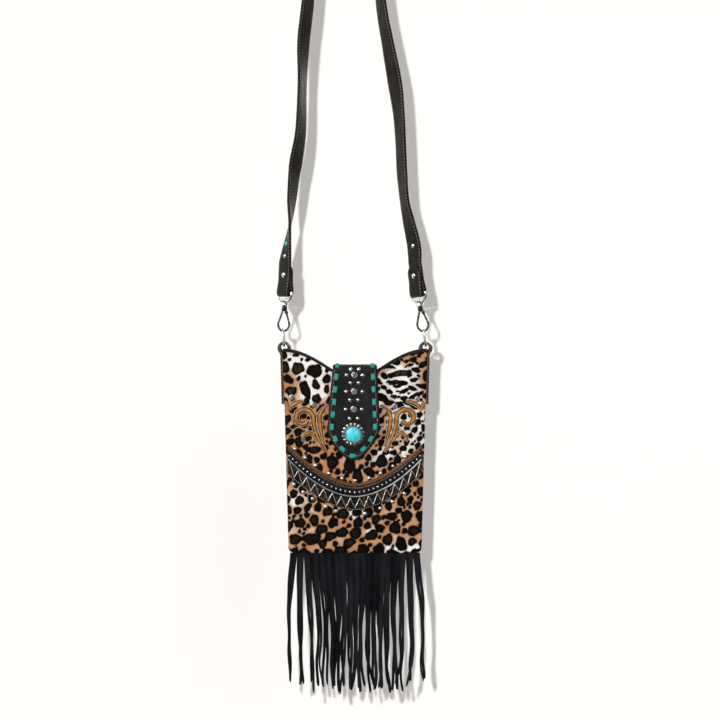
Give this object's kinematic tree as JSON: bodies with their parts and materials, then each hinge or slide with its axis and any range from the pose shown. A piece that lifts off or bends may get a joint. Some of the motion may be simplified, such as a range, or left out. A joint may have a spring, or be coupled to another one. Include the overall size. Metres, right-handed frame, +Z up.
{
  "type": "fringed crossbody phone bag",
  "caption": "Small fringed leather phone bag on a crossbody strap, with a snap tab over its mouth and swivel clips in side rings.",
  "frame": {"origin": "underside of the strap's crown, where a peg or a shoulder bears", "axes": "+Z up, towards the crown from the bag; -Y out of the bag's decorated front; +X to the right as the front is seen"},
  "size_m": [0.152, 0.0401, 0.9863],
  "materials": {
    "leopard_leather": "printed, satin",
    "black_leather": "satin",
    "strap_leather": "satin",
    "black_suede": "suede",
    "tan_tooled_leather": "tooled and stained",
    "turquoise_lace": "satin",
    "turquoise_stone": "polished",
    "silver_metal": "antique silver plate",
    "gunmetal": "dark plate",
    "crystal_setting": "faceted stone in a metal cup",
    "lining_cloth": "plain weave"
  },
  "bodies": {
    "strap": {"strap": "strap_leather", "left_eye": "silver_metal", "right_eye": "silver_metal", "left_fold_rivet": "silver_metal", "right_fold_rivet": "silver_metal", "left_strap_rivet": "silver_metal", "left_turquoise_rivet": "turquoise_lace", "right_strap_rivet": "silver_metal"},
    "bag": {"front_panel": "leopard_leather", "back_panel": "leopard_leather", "gusset": "black_leather", "lining": "lining_cloth", "front_binding": "black_leather", "back_binding": "black_leather", "curved_band": "black_leather", "tan_piping": "tan_tooled_leather", "silver_cord": "silver_metal", "left_volute": "tan_tooled_leather", "right_volute": "tan_tooled_leather", "left_inner_leaf": "tan_tooled_leather", "right_inner_leaf": "tan_tooled_leather", "left_outer_leaf": "tan_tooled_leather", "right_outer_leaf": "tan_tooled_leather", "fringe": "black_suede", "snap_socket": "silver_metal", "flap_root": "black_leather", "left_side_tab": "black_leather", "right_side_tab": "black_leather", "left_ring": "silver_metal", "right_ring": "silver_metal"},
    "flap": {"flap_face": "black_leather", "flap_lining": "black_leather", "turquoise_lace": "turquoise_lace", "snap_stud": "silver_metal", "concho": "silver_metal", "cabochon": "turquoise_stone", "crystal_stud_1": "crystal_setting", "crystal_stud_2": "crystal_setting", "crystal_stud_3": "crystal_setting", "dome_stud_1": "silver_metal", "dome_stud_2": "silver_metal", "dome_stud_3": "silver_metal", "dome_stud_4": "silver_metal", "dome_stud_5": "silver_metal", "dome_stud_6": "silver_metal", "dome_stud_7": "silver_metal", "dome_stud_8": "silver_metal", "dome_stud_9": "silver_metal", "dome_stud_10": "silver_metal", "dome_stud_11": "silver_metal", "dome_stud_12": "silver_metal", "dome_stud_13": "silver_metal", "dome_stud_14": "silver_metal"},
    "left_hook": {"left_hook": "gunmetal", "left_gate_pin": "gunmetal"},
    "left_gate": {"left_gate": "gunmetal"},
    "right_hook": {"right_hook": "gunmetal", "right_gate_pin": "gunmetal"},
    "right_gate": {"right_gate": "gunmetal"}
  },
  "joints": [
    {"name": "bag_swing", "type": "hinge", "parent": "strap", "child": "bag", "pos_m": [0, 0, -0.63258], "axis": [1, 0, 0], "range_deg": [-60, 60]},
    {"name": "flap_lift", "type": "hinge", "parent": "bag", "child": "flap", "pos_m": [0, 0.0093, -0.66485], "axis": [-1, 0, 0], "range_deg": [0, 170]},
    {"name": "left_swivel", "type": "hinge", "parent": "strap", "child": "left_hook", "pos_m": [-0.06997, 0, -0.63253], "axis": [0.0419, 0, 0.9991], "range_deg": [-25, 25]},
    {"name": "left_gate_hinge", "type": "hinge", "parent": "left_hook", "child": "left_gate", "pos_m": [-0.06711, 0, -0.61434], "axis": [0, 1, 0], "range_deg": [0, 25], "stiffness_Nm_per_rad": 0.01},
    {"name": "right_swivel", "type": "hinge", "parent": "strap", "child": "right_hook", "pos_m": [0.06709, 0, -0.63263], "axis": [-0.1426, 0, 0.9898], "range_deg": [-25, 25]},
    {"name": "right_gate_hinge", "type": "hinge", "parent": "right_hook", "child": "right_gate", "pos_m": [0.06656, 0, -0.61421], "axis": [0, 1, 0], "range_deg": [0, 25], "stiffness_Nm_per_rad": 0.01}
  ]
}
